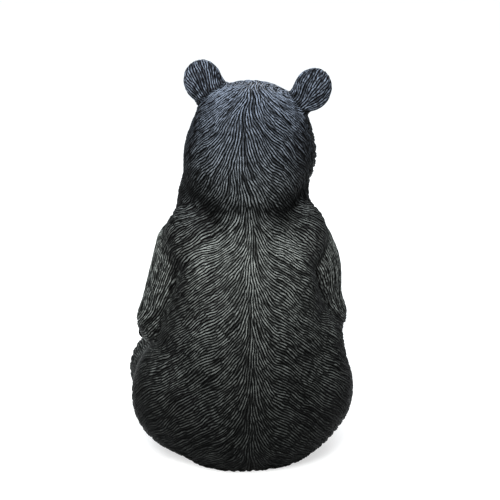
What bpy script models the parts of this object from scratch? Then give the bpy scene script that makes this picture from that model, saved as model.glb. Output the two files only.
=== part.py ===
"""A resin figurine of a black bear sitting upright, cast as one solid.

The bear faces -Y with its left side at +X, and sits on the plane z = 0. Rounded masses are
blended into one surface. A mesh is blocked out along it on a grid, settled onto it and carved
with locks of fur that follow the growth of the coat. Units are metres.

Run with: blender --background --python part.py
"""

import math
from collections import namedtuple

import bmesh
import bpy
import numpy as np
from mathutils import Euler

# Driving sizes, in metres.
HEIGHT = 0.300  # from the floor to the tip of the higher ear
LOCK_WIDTH = 0.0066  # across one carved lock of fur
LOCK_DEPTH = 0.0011  # from the crest of a lock to the bottom of its groove
WANDER = 0.0006  # how far locks waver
WAVERING = (0.0032, 0.0055)  # and over which lengths
BLOCKOUT_VOXEL = 0.0022  # grain of the block-out
TRIANGLES = 9400  # in the finished casting
KEPT_DETAIL = 0.000004  # extra cost of collapsing edges on the face and paws
FINE_REACH = 0.010  # how far round them that holds, as a share of the height
SHARP_ANGLE = 35.0  # degrees, from which an edge is shaded as a crease

# How the head is held, in degrees.
HEAD_PITCH = 0.0  # positive lifts the muzzle
HEAD_ROLL = -6.0  # negative leans the crown to the bear's right
HEAD_YAW = -16.0  # negative turns the face to the bear's right

RESIN_COLOUR = (0.020, 0.021, 0.022, 1.0)
RESIN_ROUGHNESS = 0.45
RESIN_METALLIC = 0.0

ABREAST = 3.4  # locks side by side in a group
LOCK_FOOT, LOCK_TOP = 0.33, 0.53  # where a lock's sides start and its crest is flat, of 0..1
NEARNESS = 0.012  # how far a region's coat reaches into the next, as a share of the height
SETTLING_PASSES = 6  # passes that move the block-out onto the blended surface
FINE_PASSES = 3  # the same, after the mesh is divided

# Every place and size from here to carve_fur is a share of the height. A mass at one side is
# given at the bear's left and holds for both sides.
Egg = namedtuple("Egg", "centre axes lean", defaults=((0.0, 0.0, 0.0),))
Limb = namedtuple("Limb", "start end start_radius end_radius")

# Fillets between masses, from where they run together to where they only touch.
FLOWING = 0.060
SOFT = 0.050
BROAD = 0.040
ROOT = 0.030
FOLD = 0.022
CLOSE = 0.012
TIGHT = 0.006
CREASE = 0.002

# The space that is searched for the bear's surface, along each axis.
ROOM = ((-0.34, 0.34), (-0.52, 0.30), (-0.06, 1.05))

SWAY = -0.020  # how far the body leans to its right, over its height
SWAY_LEVEL = 0.45

TRUNK = (
    Egg((0.0, 0.050, 0.145), (0.228, 0.185, 0.176)),  # seat
    Egg((0.0, 0.038, 0.280), (0.220, 0.195, 0.315)),  # back
    Egg((0.0, -0.035, 0.270), (0.200, 0.185, 0.235)),  # belly
    Egg((0.0, -0.030, 0.500), (0.160, 0.145, 0.185)),  # chest
    Egg((-0.185, 0.010, 0.285), (0.074, 0.110, 0.090)),  # right flank, pressed up by the arm
    Egg((-0.100, 0.065, 0.100), (0.116, 0.115, 0.095)),  # right seat, which bears more weight
)
NECK = Egg((0.003, -0.020, 0.650), (0.168, 0.138, 0.180))
NAPE = Egg((0.003, 0.050, 0.685), (0.098, 0.085, 0.110))
SPINE = Limb((0.003, 0.058, 0.700), (0.003, 0.112, 0.520), 0.072, 0.060)
SHOULDER = Egg((0.122, 0.030, 0.572), (0.082, 0.092, 0.095), (0.0, 14.0, 0.0))
SHOULDER_BLADE = Egg((0.078, 0.108, 0.465), (0.088, 0.072, 0.125))

UPPER_ARM = Limb((0.148, -0.010, 0.545), (0.208, -0.018, 0.360), 0.077, 0.060)
FOREARM = Limb((0.206, -0.015, 0.345), (0.168, -0.205, 0.330), 0.058, 0.045)
RIGHT_ARM = Egg((-0.186, -0.010, 0.475), (0.061, 0.070, 0.090))  # its muscle, tensed
FOREPAW = Egg((0.158, -0.262, 0.318), (0.052, 0.062, 0.037), (14.0, 0.0, -6.0))

HAUNCH = Egg((0.140, 0.035, 0.180), (0.136, 0.155, 0.162))
THIGH = Limb((0.150, 0.020, 0.160), (0.184, -0.200, 0.165), 0.125, 0.098)
SHIN = Limb((0.184, -0.215, 0.135), (0.182, -0.360, 0.075), 0.088, 0.072)
FOOT = Egg((0.186, -0.400, 0.110), (0.064, 0.048, 0.114), (-8.0, 0.0, 12.0))

# The head's own space has its origin at the pivot, with the muzzle along -Y.
HEAD_PIVOT = (-0.006, 0.0, 0.797)
SKULL = Egg((0.0, -0.010, 0.045), (0.146, 0.150, 0.120))
RUFF = Egg((0.0, 0.030, -0.045), (0.152, 0.128, 0.110))
CHEEK = Egg((0.085, -0.055, -0.025), (0.078, 0.085, 0.085))
FOREHEAD = Egg((0.0, -0.100, 0.055), (0.085, 0.060, 0.058))
MUZZLE = Limb((0.0, -0.110, -0.005), (0.0, -0.222, -0.022), 0.070, 0.045)
JAW = Limb((0.0, -0.090, -0.055), (0.0, -0.198, -0.060), 0.055, 0.030)
NOSE = Egg((0.0, -0.262, 0.000), (0.034, 0.022, 0.024), (-12.0, 0.0, 0.0))
NOSTRIL = Egg((0.015, -0.284, -0.004), (0.008, 0.012, 0.006))
EYE_SOCKET = Egg((0.059, -0.176, 0.034), (0.026, 0.024, 0.020), (0.0, 0.0, 28.0))
EYEBALL = Egg((0.057, -0.152, 0.034), (0.019, 0.019, 0.019))
LIDS = (
    Limb((0.037, -0.180, 0.045), (0.058, -0.168, 0.055), 0.006, 0.008),
    Limb((0.058, -0.168, 0.055), (0.079, -0.150, 0.044), 0.008, 0.006),
    Limb((0.039, -0.180, 0.022), (0.060, -0.168, 0.012), 0.004, 0.005),
    Limb((0.060, -0.168, 0.012), (0.079, -0.152, 0.025), 0.005, 0.004),
)
EAR_SHIFT = (-0.009, 0.0, 0.0195)  # the pair of ears sits less aslant than the head
EAR_ROLL = 3.0  # degrees
EAR = Egg((0.136, 0.000, 0.137), (0.048, 0.023, 0.054), (6.0, 24.0, 14.0))
EAR_HOLLOW = Egg((0.140, -0.025, 0.141), (0.033, 0.017, 0.040), (6.0, 24.0, 14.0))
MOUTH = (
    Limb((0.0, -0.268, -0.022), (0.0, -0.260, -0.046), 0.005, 0.006),
    Limb((0.0, -0.260, -0.046), (0.022, -0.250, -0.050), 0.006, 0.007),
    Limb((0.022, -0.250, -0.050), (0.033, -0.231, -0.051), 0.007, 0.007),
    Limb((0.033, -0.231, -0.051), (0.038, -0.205, -0.050), 0.007, 0.007),
    Limb((0.038, -0.205, -0.050), (0.047, -0.175, -0.046), 0.007, 0.006),
    Limb((0.047, -0.175, -0.046), (0.068, -0.152, -0.036), 0.006, 0.004),
)


# What the growth of the coat is laid by: places in the head's space, and levels on the body.
CROWN = (0.0, 0.040, 0.160)
NOSE_TIP = (0.0, -0.280, 0.010)
EAR_ROOT = (0.105, 0.010, 0.090)
BACK_OF_HEAD = (-0.015, 0.035)  # from the face's coat to that behind the crown
ELBOW_LEVEL = (0.40, 0.32)  # from the upper arm's coat to the forearm's
HIP_FRONT = (-0.12, -0.02)  # from the thigh's coat to the haunch's
KNEE_FRONT = (-0.19, -0.24)  # from the thigh's coat to the shin's
PARTING = 0.07  # from the spine to where the coat is turned aside in full
ASIDE = 1.3  # how far it turns, as against its fall
HEAD_PARTING = 0.09
HEAD_FALL = (0.4, 0.9, 1.3)  # how strongly it runs from the crown, down and aside behind it
FACE_FALL = 0.7  # and to the crown before it, as against from the nose
EAR_HOLD = 2.0  # how firmly an ear's coat keeps its own way
SOLE_RISE = (0.0, -0.3, 1.0)  # the way the coat of a foot runs
SHORT_THIGH = (0.04, 0.11)  # behind the body's middle, from short hair to long

# How the coat's depth is shared out.
SHORT_DEPTH = 0.65
MUZZLE_DEPTH = 0.30
BARE_EDGE = 0.003
EYE_EDGE = 0.010


def paw_toes(across, rise, front, count=5, spread=0.086, radius=0.017):
    """Toes in a fan across a paw, as eggs, and the claw of each, as limbs."""
    toes, claws = [], []
    for index in range(count):
        share = index / (count - 1) - 0.5
        x = across + spread * share
        y = front + 0.030 * (2.0 * share) ** 2
        toes.append(Egg((x, y, rise), (radius, radius * 1.3, radius)))
        tip = (x + 0.012 * share, y - 0.040, rise - 0.020)
        claws.append(Limb((x, y - 0.8 * radius, rise), tip, 0.0085, 0.004))
    return toes, claws


def foot_toes(across, rise, front, count=5, spread=0.096, radius=0.0185):
    """Toes along the top of an upright sole, as eggs, and the claw of each, as limbs."""
    toes, claws = [], []
    for index in range(count):
        share = index / (count - 1) - 0.5
        x = across + spread * share
        z = rise - 0.034 * (2.0 * share) ** 2
        toes.append(Egg((x, front, z), (radius, radius, radius * 1.15)))
        tip = (x + 0.020 * share, front - 0.032, z + 0.026)
        claws.append(Limb((x, front - 0.5 * radius, z + 0.4 * radius), tip, 0.0085, 0.004))
    return toes, claws


FOREPAW_TOES, FOREPAW_CLAWS = paw_toes(across=0.156, rise=0.302, front=-0.312)
FOOT_TOES, FOOT_CLAWS = foot_toes(across=0.194, rise=0.218, front=-0.418)
SOLE_PADS = (
    Egg((0.193, -0.440, 0.128), (0.046, 0.011, 0.036), (-8.0, 0.0, 12.0)),
    Egg((0.188, -0.436, 0.056), (0.030, 0.010, 0.026), (-8.0, 0.0, 12.0)),
)


def length_of(vectors):
    return np.sqrt(np.einsum("ij,ij->i", vectors, vectors))


def unit(vectors):
    return vectors / np.maximum(length_of(vectors), 1e-9)[:, None]


def turn_of(degrees):
    return np.array(Euler([math.radians(angle) for angle in degrees]).to_matrix())


def distance(points, mass):
    """How far the points are outside a mass. It is negative inside and exact on the surface."""
    if isinstance(mass, Egg):
        axes = np.array(mass.axes)
        local = (points - np.array(mass.centre)) @ turn_of(mass.lean) / axes
        reach = length_of(local)
        return reach * (reach - 1.0) / np.maximum(length_of(local / axes), 1e-9)
    start = np.array(mass.start)
    along = np.array(mass.end) - start
    share = np.clip((points - start) @ along / (along @ along), 0.0, 1.0)
    radius = mass.start_radius + share * (mass.end_radius - mass.start_radius)
    return length_of(points - start - share[:, None] * along) - radius


def joined(first, second, blend):
    """Two masses as one, with a fillet about as wide as blend where they meet."""
    overlap = np.maximum(blend - np.abs(first - second), 0.0) / blend
    return np.minimum(first, second) - overlap * overlap * blend / 4.0


def carved(mass, tool, blend):
    return -joined(-mass, tool, blend)


def merged(points, masses, blend):
    total = distance(points, masses[0])
    for mass in masses[1:]:
        total = joined(total, distance(points, mass), blend)
    return total


def folded(points):
    """The points with the bear's right side laid over its left."""
    return np.stack((np.abs(points[:, 0]), points[:, 1], points[:, 2]), 1)


def upright(points):
    """The points with the sway taken out of the body."""
    swayed = points.copy()
    swayed[:, 0] -= SWAY * (points[:, 2] - SWAY_LEVEL)
    return swayed


def head_turn():
    return turn_of((HEAD_PITCH, HEAD_ROLL, HEAD_YAW))


def in_head_space(points):
    return (points - np.array(HEAD_PIVOT)) @ head_turn()


def in_ear_space(points):
    return (in_head_space(points) - np.array(EAR_SHIFT)) @ turn_of((0.0, EAR_ROLL, 0.0))


def regions(points):
    """Distance to each region of the bear by name, and to the whole bear."""
    points = upright(points)
    side = folded(points)
    face = folded(in_head_space(points))
    trunk = merged(points, TRUNK, FLOWING)
    trunk = joined(trunk, distance(points, NECK), SOFT)
    trunk = joined(trunk, distance(points, SPINE), FLOWING)
    trunk = joined(trunk, distance(side, SHOULDER_BLADE), BROAD)
    trunk = joined(trunk, distance(side, SHOULDER), FOLD)

    arm = joined(distance(side, UPPER_ARM), distance(side, FOREARM), ROOT)
    arm = joined(arm, distance(points, RIGHT_ARM), ROOT)
    forepaw = joined(distance(side, FOREPAW), merged(side, FOREPAW_TOES, TIGHT), CLOSE)
    leg = joined(distance(side, THIGH), distance(side, SHIN), SOFT)
    leg = joined(leg, distance(side, HAUNCH), SOFT)
    foot = joined(distance(side, FOOT), merged(side, FOOT_TOES, TIGHT), CLOSE)
    pads = merged(side, SOLE_PADS, TIGHT)
    claws = merged(side, (*FOREPAW_CLAWS, *FOOT_CLAWS), CREASE)

    head = joined(distance(face, SKULL), distance(face, RUFF), FLOWING)
    head = joined(head, distance(points, NAPE), SOFT)
    head = joined(head, distance(face, CHEEK), SOFT)
    head = joined(head, distance(face, FOREHEAD), FLOWING)
    muzzle = joined(distance(face, MUZZLE), distance(face, JAW), FOLD)
    head = joined(head, muzzle, BROAD)
    mouth = merged(face, MOUTH, TIGHT)
    head = carved(head, distance(face, EYE_SOCKET), CLOSE)
    head = carved(head, mouth, TIGHT)
    head = joined(head, merged(face, LIDS, TIGHT), TIGHT)
    ears = folded(in_ear_space(points))
    ear = carved(distance(ears, EAR), distance(ears, EAR_HOLLOW), CLOSE)
    eye = distance(face, EYEBALL)
    nose = carved(distance(face, NOSE), distance(face, NOSTRIL), TIGHT)

    bear = joined(trunk, leg, FOLD)
    bear = joined(bear, joined(arm, forepaw, ROOT), CLOSE)
    bear = joined(bear, foot, ROOT)
    bear = joined(bear, pads, TIGHT)
    bear = joined(bear, claws, TIGHT)
    bear = joined(bear, joined(head, ear, ROOT), FOLD)
    bear = joined(bear, eye, CREASE)
    bear = joined(bear, nose, TIGHT)
    return {
        "trunk": trunk,
        "arm": arm,
        "forepaw": forepaw,
        "leg": leg,
        "foot": foot,
        "pads": pads,
        "claws": claws,
        "head": head,
        "muzzle": muzzle,
        "mouth": mouth,
        "ear": ear,
        "eye": eye,
        "nose": nose,
        "bear": bear,
    }


def corners_of(nodes):
    """The eight corners of each grid cell, the last in the list opposite to the first."""
    last = np.array(nodes.shape) - 1
    return [nodes[i : last[0] + i, j : last[1] + j, k : last[2] + k] for i, j, k in np.ndindex(2, 2, 2)]


def without_touching(inside):
    """The nodes with those filled in that would leave two parts touching at a line or a point."""
    while True:
        before = inside.sum()
        for turn in ((0, 1, 2), (1, 2, 0), (2, 0, 1)):
            layer = inside.transpose(turn)
            one, other = layer[:, :-1, :-1], layer[:, 1:, 1:]
            left, right = layer[:, 1:, :-1], layer[:, :-1, 1:]
            left |= one & other & ~right
            one |= left & right & ~other
        corners = corners_of(inside)
        for index in range(4):
            one, other = corners[index], corners[-1 - index]
            rest = corners[:index] + corners[index + 1 : 7 - index] + corners[8 - index :]
            rest[0] |= one & other & ~np.logical_or.reduce(rest)
            one |= ~other & np.logical_and.reduce(rest)
        if inside.sum() == before:
            return inside


def blocked_out(name):
    """A closed mesh near the blended surface, with one vertex in each grid cell that it crosses."""
    step = BLOCKOUT_VOXEL / HEIGHT
    rows = [np.arange(low, high, step) for low, high in ROOM]
    nodes = np.stack(np.meshgrid(*rows, indexing="ij"), -1)
    slabs = [regions(slab.reshape(-1, 3))["bear"].reshape(slab.shape[:2]) for slab in nodes]
    inside = without_touching(np.stack(slabs) < 0.0)
    corners = corners_of(inside)
    crossed = np.logical_or.reduce(corners) & ~np.logical_and.reduce(corners)
    number = np.zeros(crossed.shape, np.int32)
    number[crossed] = np.arange(crossed.sum())
    faces = []
    for axis in range(3):
        turn = (axis, (axis + 1) % 3, (axis + 2) % 3)
        solid, cell = inside.transpose(turn), number.transpose(turn)
        first, second = solid[:-1, 1:-1, 1:-1], solid[1:, 1:-1, 1:-1]
        around = (cell[:, :-1, :-1], cell[:, 1:, :-1], cell[:, 1:, 1:], cell[:, :-1, 1:])
        ring = np.stack(around, -1)
        faces += [ring[first & ~second], ring[second & ~first][:, ::-1]]
    mesh = bpy.data.meshes.new(name)
    points = nodes[:-1, :-1, :-1][crossed] + 0.5 * step
    mesh.from_pydata(HEIGHT * points, [], np.concatenate(faces))
    obj = bpy.data.objects.new(name, mesh)
    bpy.context.scene.collection.objects.link(obj)
    return obj


def apply_modifiers(obj):
    """Bakes the object's modifiers into its mesh."""
    graph = bpy.context.evaluated_depsgraph_get()
    mesh = bpy.data.meshes.new_from_object(obj.evaluated_get(graph))
    old = obj.data
    obj.modifiers.clear()
    obj.data = mesh
    bpy.data.meshes.remove(old)
    mesh.name = obj.name


def read_points(mesh):
    points = np.empty(len(mesh.vertices) * 3, np.float32)
    mesh.vertices.foreach_get("co", points)
    return points.reshape(-1, 3).astype(np.float64)


def read_normals(mesh):
    normals = np.empty(len(mesh.vertices) * 3, np.float32)
    mesh.vertex_normals.foreach_get("vector", normals)
    return normals.reshape(-1, 3).astype(np.float64)


def read_edges(mesh):
    edges = np.empty(len(mesh.edges) * 2, np.int32)
    mesh.edges.foreach_get("vertices", edges)
    return edges.reshape(-1, 2)


def read_triangles(mesh):
    corners = np.empty(len(mesh.polygons) * 3, np.int32)
    mesh.polygons.foreach_get("vertices", corners)
    return corners.reshape(-1, 3)


def write_points(mesh, points):
    mesh.vertices.foreach_set("co", points.astype(np.float32).ravel())
    mesh.update()


def neighbour_sum(edges, values, count):
    """For each vertex, the sum of a value over the vertices that share an edge with it."""
    first, second = edges.T
    columns = [
        np.bincount(first, column[second], count) + np.bincount(second, column[first], count)
        for column in values.T
    ]
    return np.stack(columns, 1)


def drop_specks(mesh):
    """Removes what the block-out leaves loose around thin tips."""
    edges = read_edges(mesh)
    label = np.arange(len(mesh.vertices))
    while True:
        lowest = np.minimum(label[edges[:, 0]], label[edges[:, 1]])
        spread = label.copy()
        np.minimum.at(spread, edges[:, 0], lowest)
        np.minimum.at(spread, edges[:, 1], lowest)
        spread = spread[spread]
        if np.array_equal(spread, label):
            break
        label = spread
    loose = np.flatnonzero(label != np.bincount(label).argmax())
    if len(loose) == 0:
        return
    block = bmesh.new()
    block.from_mesh(mesh)
    block.verts.ensure_lookup_table()
    bmesh.ops.delete(block, geom=[block.verts[index] for index in loose], context="VERTS")
    block.to_mesh(mesh)
    block.free()


def settle(mesh, passes, relax):
    """Moves the vertices onto the blended surface, evening them out along it."""
    edges = read_edges(mesh)
    count = len(mesh.vertices)
    valence = np.bincount(edges.ravel(), minlength=count)[:, None]
    for _ in range(passes):
        points = read_points(mesh)
        normals = read_normals(mesh)
        away = regions(points / HEIGHT)["bear"] * HEIGHT
        drift = neighbour_sum(edges, points, count) / valence - points
        points += relax * drift - 0.8 * away[:, None] * normals
        write_points(mesh, points)


def share_between(value, low, high):
    return np.clip((value - low) / (high - low), 0.0, 1.0)


def growth(points, normals, found):
    """The direction in which the coat grows at each point, along the surface."""
    down = np.array((0.0, 0.0, -1.0))
    points = upright(points)
    side = folded(points)
    flip = np.sign(points[:, :1] + 1e-12)

    # On the trunk the coat parts along the spine and runs down and round to the belly.
    level = np.stack((normals[:, 1], -normals[:, 0], np.zeros(len(points))), 1)
    around = flip * unit(level)
    trunk = down + ASIDE * np.clip(side[:, :1] / PARTING, 0.0, 1.0) * around

    # On the head it parts in the same way behind the crown, and runs back from the nose.
    face = in_head_space(points)
    from_crown = unit(face - np.array(CROWN)) @ head_turn().T
    from_nose = unit(face - np.array(NOSE_TIP)) @ head_turn().T
    parting = np.clip(face[:, :1] / HEAD_PARTING, -1.0, 1.0)
    back_of_head = HEAD_FALL[0] * from_crown + HEAD_FALL[1] * down + HEAD_FALL[2] * parting * level
    behind = share_between(face[:, 1:2], *BACK_OF_HEAD)
    head = behind * back_of_head + (1.0 - behind) * (from_nose - FACE_FALL * from_crown)
    ear = unit(folded(face) - np.array(EAR_ROOT))
    ear[:, 0] *= np.sign(face[:, 0] + 1e-12)
    ear = ear @ head_turn().T

    def along(limb):
        direction = np.array(limb.end) - np.array(limb.start)
        direction = np.tile(direction / np.linalg.norm(direction), (len(points), 1))
        direction[:, :1] *= flip
        return direction

    weights = {name: np.exp(-(found[name] - found["bear"]) / NEARNESS)[:, None] for name in found}
    lower_arm = share_between(points[:, 2:3], *ELBOW_LEVEL)
    lower_leg = share_between(points[:, 1:2], *KNEE_FRONT)
    haunch = share_between(points[:, 1:2], *HIP_FRONT)
    flow = weights["trunk"] * unit(trunk)
    flow += weights["head"] * unit(head)
    flow += EAR_HOLD * weights["ear"] * unit(ear)
    flow += weights["arm"] * (lower_arm * along(FOREARM) + (1.0 - lower_arm) * along(UPPER_ARM))
    thigh = haunch * unit(trunk) + (1.0 - haunch) * along(THIGH)
    flow += weights["leg"] * (lower_leg * along(SHIN) + (1.0 - lower_leg) * thigh)
    flow += weights["forepaw"] * along(FOREARM)
    flow += weights["foot"] * np.array(SOLE_RISE)
    flow -= np.einsum("ij,ij->i", flow, normals)[:, None] * normals
    return unit(flow)


def turned(words, count):
    return words << count | words >> (32 - count)


def hash_of(words):
    """A number from 0 to 1 for each four, mixed so well that it looks random."""
    x, y, z, w = (np.ascontiguousarray(word, np.float32).view(np.uint32) for word in words)
    start = np.uint32(0xDEADBEEF + 16 + 13)
    a, b, c = x + start, y + start, z + start
    a = (a - c) ^ turned(c, 4)
    c = c + b
    b = (b - a) ^ turned(a, 6)
    a = a + c
    c = (c - b) ^ turned(b, 8)
    b = b + a
    a = (a - c) ^ turned(c, 16)
    c = c + b
    b = (b - a) ^ turned(a, 19)
    a = a + c
    c = (c - b) ^ turned(b, 4)
    b = b + a
    a = a + w
    c = (c ^ b) - turned(b, 14)
    a = (a ^ c) - turned(c, 11)
    b = (b ^ a) - turned(a, 25)
    c = (c ^ b) - turned(b, 16)
    a = (a ^ c) - turned(c, 4)
    b = (b ^ a) - turned(a, 14)
    c = (c ^ b) - turned(b, 24)
    return c.astype(np.float32) / np.float32(0xFFFFFFFF)


def ripples(place, across, width):
    """Ripples of a width that run across a direction: about 0.5, at most 0..1.

    Each cell of a lattice holds a few short wave trains. Those that reach a place are added up,
    all taken in that place's own direction, as Gabor noise does it.
    """
    impulses = 8
    places = place / (ABREAST * width)
    whole = np.floor(places).astype(np.int32)
    low = whole.min(0) - 1
    size = whole.max(0) + 2 - low
    cells = np.indices(size).reshape(3, -1).T + low
    x, y, z = cells.T.astype(np.float32)
    share = (places - whole).astype(np.float32)
    index = np.ravel_multi_index((whole - low).T, size)
    strides = np.array((size[1] * size[2], size[2], 1))
    wave = (2.0 * math.pi * ABREAST * across).astype(np.float32)
    total = np.zeros(len(places), np.float32)
    for impulse in range(impulses):
        seed = np.full(len(cells), 3 * impulse + 1, np.float32)
        centre = [hash_of((x, y, z, seed)), hash_of((z, x, seed, y)), hash_of((seed, z, y, x))]
        centre = np.stack(centre, 1)
        sign = np.where(hash_of((x, y, z, seed + 1)) < 0.5, np.float32(-1.0), np.float32(1.0))
        for neighbour in np.ndindex(3, 3, 3):
            step = np.array(neighbour) - 1
            cell = index + int(step @ strides)
            offset = share - step.astype(np.float32) - centre[cell]
            square = np.einsum("ij,ij->i", offset, offset)
            near = np.flatnonzero(square < 1.0)
            square = square[near]
            window = np.exp(-math.pi * square) * (0.5 + 0.5 * np.cos(math.pi * square))
            window *= sign[cell[near]]
            total[near] += window * np.sin(np.einsum("ij,ij->i", offset[near], wave[near]))
    spread = math.sqrt(impulses * 0.5 / (4.0 * math.sqrt(2.0)))
    return 0.5 + total / (12.0 * spread)


def wavered(points):
    """The points shifted to and fro a little, so that strokes laid by them waver."""
    wander = np.sin(points[:, [1, 2, 0]] / WAVERING[0]) + np.sin(points[:, [2, 0, 1]] / WAVERING[1])
    return points + WANDER * wander


def ramp(value, low, high):
    """A smooth step of a value from 0 at low to 1 at high."""
    share = share_between(value, low, high)
    return share * share * (3.0 - 2.0 * share)


def closeness(found, name, reach=NEARNESS):
    """1 on a region of the bear, falling to 0 away from it."""
    return np.exp(-np.maximum(found[name] - found["bear"], 0.0) / reach)


def short_coat(points, found):
    """1 where the hair is short, on arms, thighs, ears and paws, and 0 on the body."""
    short = sum(closeness(found, name) for name in ("arm", "ear", "foot", "forepaw"))
    short = short + closeness(found, "leg") * (1.0 - ramp(points[:, 1], *SHORT_THIGH))
    return np.clip(short, 0.0, 1.0)


def carving_depth(short, found):
    """How deeply the coat is carved at each point, from 0 on bare places to 1 on the back."""
    bare = [closeness(found, name, BARE_EDGE) for name in ("nose", "mouth", "claws", "pads")]
    bare.append(closeness(found, "eye", EYE_EDGE))
    coat = 1.0 + (SHORT_DEPTH - 1.0) * short
    coat *= 1.0 + (MUZZLE_DEPTH - 1.0) * closeness(found, "muzzle")
    return coat * (1.0 - np.maximum.reduce(bare))


def carve_fur(mesh):
    """Cuts the locks into the casting."""
    points, normals = read_points(mesh), read_normals(mesh)
    found = regions(points / HEIGHT)
    flow = growth(points / HEIGHT, normals, found)
    across = unit(np.cross(normals, flow))
    depth = carving_depth(short_coat(points / HEIGHT, found), found)
    lock = ramp(ripples(wavered(points), across, LOCK_WIDTH), LOCK_FOOT, LOCK_TOP)
    write_points(mesh, points + (LOCK_DEPTH * (lock - 1.0) * depth)[:, None] * normals)


def divide(obj):
    subdivision = obj.modifiers.new("divide", "SUBSURF")
    subdivision.levels = subdivision.render_levels = 1
    apply_modifiers(obj)


def thin_out(obj, triangles):
    """Collapses the carved mesh to a number of triangles, kept closest on the face and paws."""
    obj.data.calc_loop_triangles()
    found = regions(read_points(obj.data) / HEIGHT)
    small = ("eye", "nose", "claws", "pads", "forepaw", "foot", "muzzle", "ear")
    closest = np.minimum.reduce([found[name] for name in small]) - found["bear"]
    loose = np.clip(closest / FINE_REACH, 0.25, 1.0)
    group = obj.vertex_groups.new(name="loose")
    for level in range(1, 5):
        chosen = np.flatnonzero(np.round(4.0 * loose) == level)
        group.add(chosen.tolist(), level / 4.0, "REPLACE")
    decimate = obj.modifiers.new("thin out", "DECIMATE")
    decimate.ratio = triangles / len(obj.data.loop_triangles)
    decimate.vertex_group = group.name
    decimate.vertex_group_factor = KEPT_DETAIL
    apply_modifiers(obj)


def cut_base(obj):
    """Cuts the casting off flat at the floor."""
    block = bmesh.new()
    block.from_mesh(obj.data)
    everything = [*block.verts, *block.edges, *block.faces]
    bmesh.ops.bisect_plane(
        block, geom=everything, dist=1e-6, plane_co=(0, 0, 0), plane_no=(0, 0, -1), clear_outer=True
    )
    rims = [edge for edge in block.edges if edge.is_boundary]
    bmesh.ops.holes_fill(block, edges=rims)
    bmesh.ops.triangulate(block, faces=block.faces)
    block.to_mesh(obj.data)
    block.free()


def stand_at_height(mesh):
    """Brings the casting to its height, measured from the floor."""
    points = read_points(mesh)
    write_points(mesh, points * HEIGHT / points[:, 2].max())


def resin():
    material = bpy.data.materials.new("black resin")
    material.use_nodes = True
    shader = material.node_tree.nodes["Principled BSDF"]
    shader.inputs["Base Color"].default_value = RESIN_COLOUR
    shader.inputs["Roughness"].default_value = RESIN_ROUGHNESS
    shader.inputs["Metallic"].default_value = RESIN_METALLIC
    return material


def make_bear():
    bear = blocked_out("bear")
    drop_specks(bear.data)
    settle(bear.data, SETTLING_PASSES, relax=0.5)
    divide(bear)
    settle(bear.data, FINE_PASSES, relax=0.1)
    carve_fur(bear.data)
    thin_out(bear, TRIANGLES)
    cut_base(bear)
    stand_at_height(bear.data)
    bear.data.shade_smooth()
    bear.data.set_sharp_from_angle(angle=math.radians(SHARP_ANGLE))
    bear.data.materials.clear()
    bear.data.materials.append(resin())
    return bear


def main():
    for obj in list(bpy.data.objects):
        bpy.data.objects.remove(obj)
    figurine = bpy.data.collections.new("sitting bear figurine")
    bpy.context.scene.collection.children.link(figurine)
    bear = make_bear()
    bpy.context.scene.collection.objects.unlink(bear)
    figurine.objects.link(bear)


main()
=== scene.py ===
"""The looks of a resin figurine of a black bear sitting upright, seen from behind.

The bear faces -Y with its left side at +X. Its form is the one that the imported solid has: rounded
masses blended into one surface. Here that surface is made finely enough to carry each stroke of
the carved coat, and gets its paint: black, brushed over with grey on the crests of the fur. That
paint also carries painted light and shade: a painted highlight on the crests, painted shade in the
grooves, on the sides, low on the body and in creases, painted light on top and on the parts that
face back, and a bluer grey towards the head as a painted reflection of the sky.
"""

import math
from collections import namedtuple

import bmesh
import bpy
import numpy as np
from mathutils import Euler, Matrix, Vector


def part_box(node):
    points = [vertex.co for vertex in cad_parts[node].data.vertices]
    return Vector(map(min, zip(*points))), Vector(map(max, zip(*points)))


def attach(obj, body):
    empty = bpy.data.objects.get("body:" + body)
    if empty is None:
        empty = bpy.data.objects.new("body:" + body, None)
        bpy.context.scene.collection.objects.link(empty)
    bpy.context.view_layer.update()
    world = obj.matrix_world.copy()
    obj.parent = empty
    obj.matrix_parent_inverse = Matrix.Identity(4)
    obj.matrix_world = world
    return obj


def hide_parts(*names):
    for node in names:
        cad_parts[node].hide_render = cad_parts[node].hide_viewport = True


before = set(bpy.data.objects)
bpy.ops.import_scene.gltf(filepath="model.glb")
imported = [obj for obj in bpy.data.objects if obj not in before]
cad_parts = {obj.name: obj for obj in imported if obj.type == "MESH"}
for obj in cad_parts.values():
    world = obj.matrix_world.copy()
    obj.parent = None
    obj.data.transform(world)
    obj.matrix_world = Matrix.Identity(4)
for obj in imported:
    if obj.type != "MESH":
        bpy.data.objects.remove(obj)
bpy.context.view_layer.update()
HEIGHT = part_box("bear")[1][2]

# The carved coat, in metres. Strokes run side by side in tufts, and tufts in locks.
LOCK_WIDTH = 0.0066
LOCK_DEPTH = 0.0011
STRAND_WIDTH = 0.0019  # from one stroke of the modelling tool to the next
STRAND_DEPTH = 0.0007
STRAND_SUNK = 0.8  # share of that depth that lies below the locks' own surface
ABREAST = 3.4  # strokes side by side in a tuft, and locks in a group
WANDER = 0.0006  # how far strokes waver
WAVERING = (0.0032, 0.0055)  # and over which lengths
NEARNESS = 0.012  # how far a region's coat reaches into the next, as a share of the height
PAINT_RELIEF = 0.0005  # depth of a stroke in the paint's own relief, over the mesh's
NOISE_ROUGHNESS = 0.55

# Where a stroke's sides start and its crest is flat, of the 0..1 that ripples gives. A lock is
# wider than the gap beside it.
STRAND_FOOT, STRAND_TOP = 0.38, 0.62
LOCK_FOOT, LOCK_TOP = 0.33, 0.53
PAINTED = (0.485, 0.63)  # and where the grey paint starts and is thickest
FILLED = 0.035  # how much lower both lie where the grey share, painted light included, is full
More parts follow.
